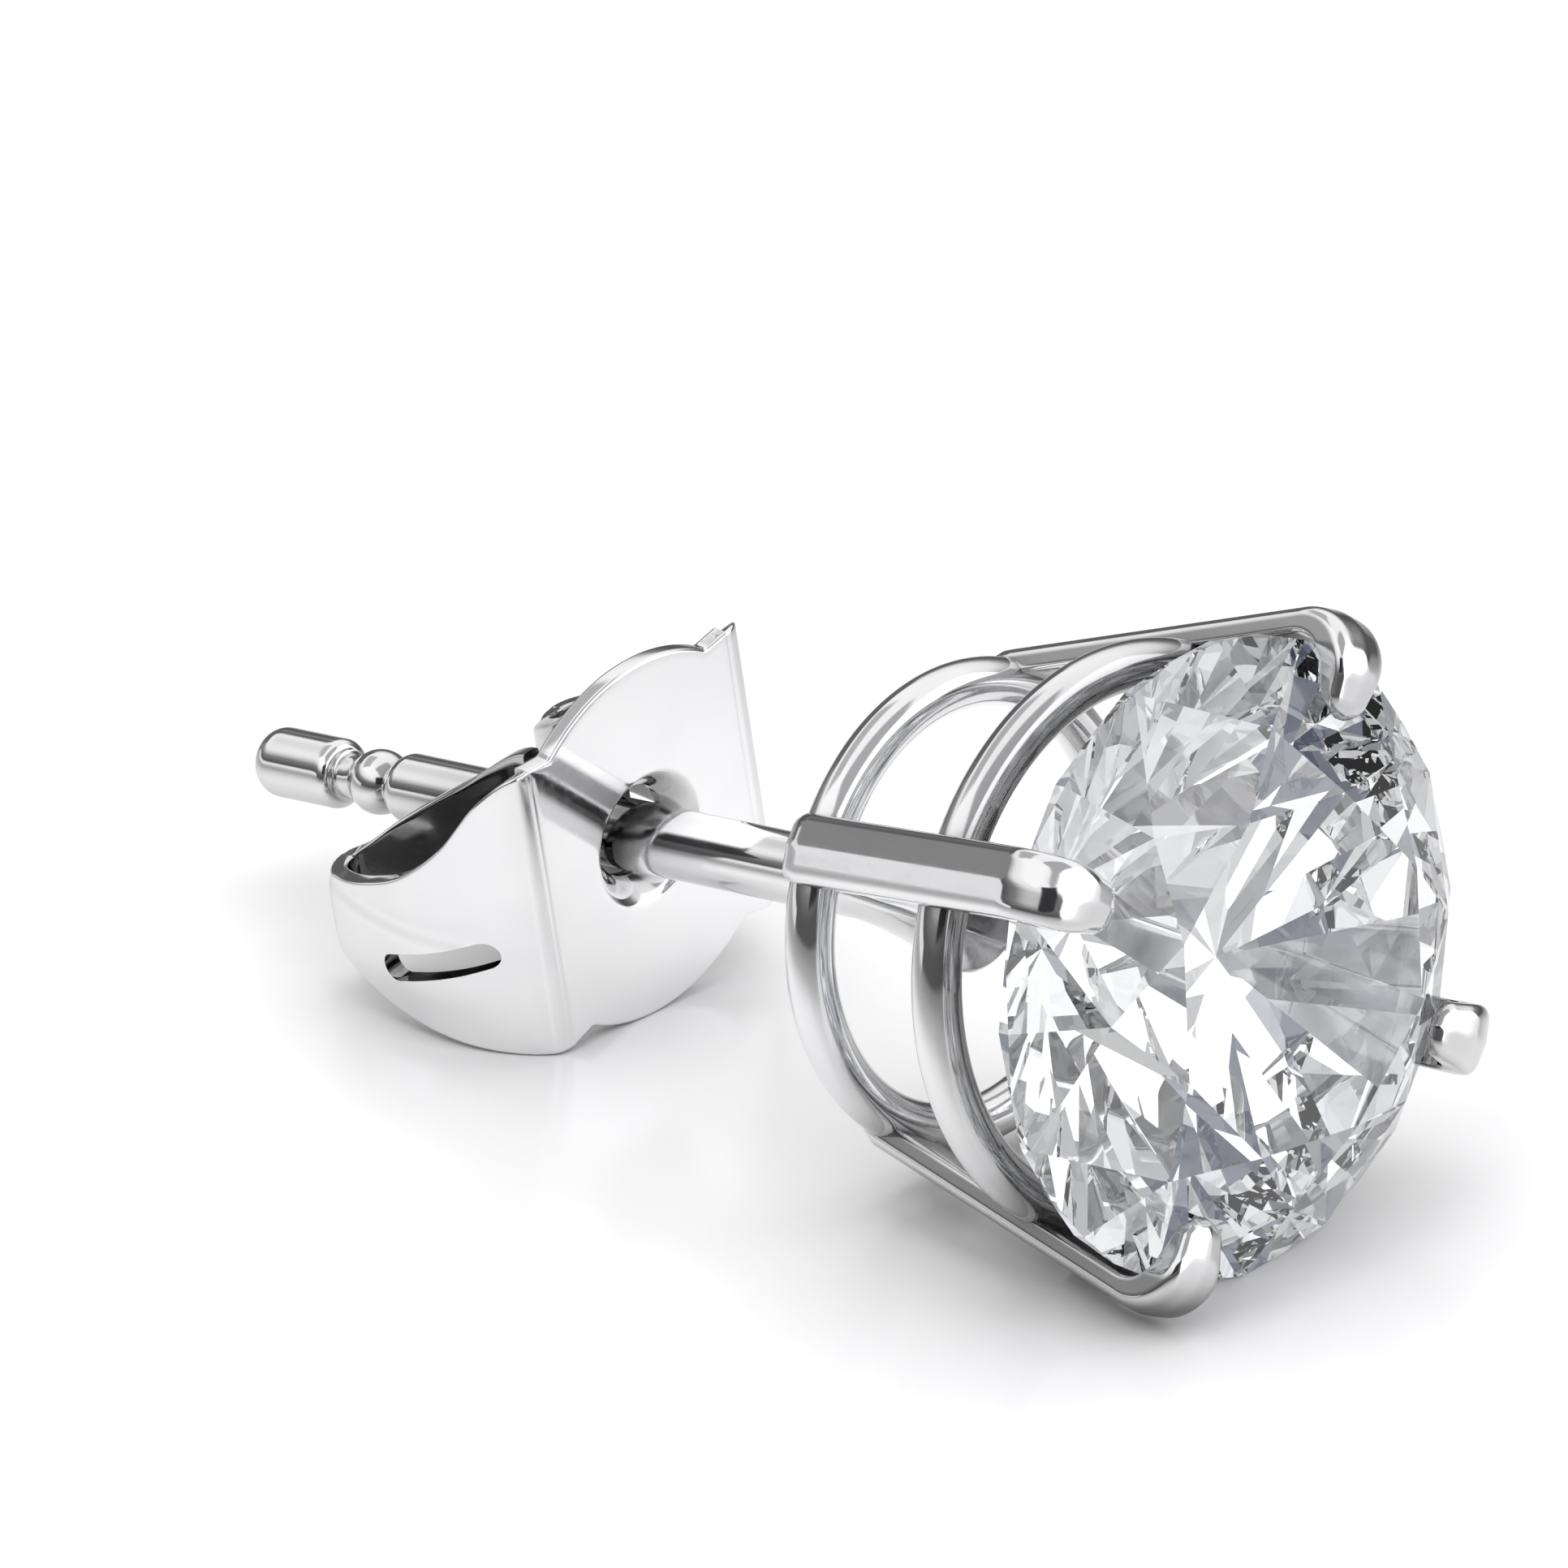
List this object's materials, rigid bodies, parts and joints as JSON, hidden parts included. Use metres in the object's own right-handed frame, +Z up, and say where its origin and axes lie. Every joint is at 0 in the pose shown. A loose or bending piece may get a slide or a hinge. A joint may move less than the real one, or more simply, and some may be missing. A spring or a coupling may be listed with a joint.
{
  "type": "stud earring",
  "caption": "Basket stud earring: a faceted round clear stone held by claws, with a straight grooved post and a sliding butterfly clutch.",
  "frame": {"origin": "the middle of the footprint, on the surface the stud lies on", "axes": "+X runs along the surface from the post's tip to the stone, +Z is up; the post rises towards the stone by 8.70 degrees and has no lean along Y"},
  "size_m": [0.0178, 0.008, 0.0079],
  "materials": {
    "setting_metal": "mirror-polished white metal",
    "clear_stone": "clear, flat polished facets",
    "clutch_metal": "mirror-polished white metal sheet"
  },
  "bodies": {
    "stud": {"setting": "setting_metal", "stone": "clear_stone"},
    "clutch": {"clutch": "clutch_metal"}
  },
  "joints": [
    {"name": "clutch_slide", "type": "slide", "parent": "stud", "child": "clutch", "axis": [0.9885, 0, 0.1513], "range_m": [-0.0076, 0.004]}
  ]
}
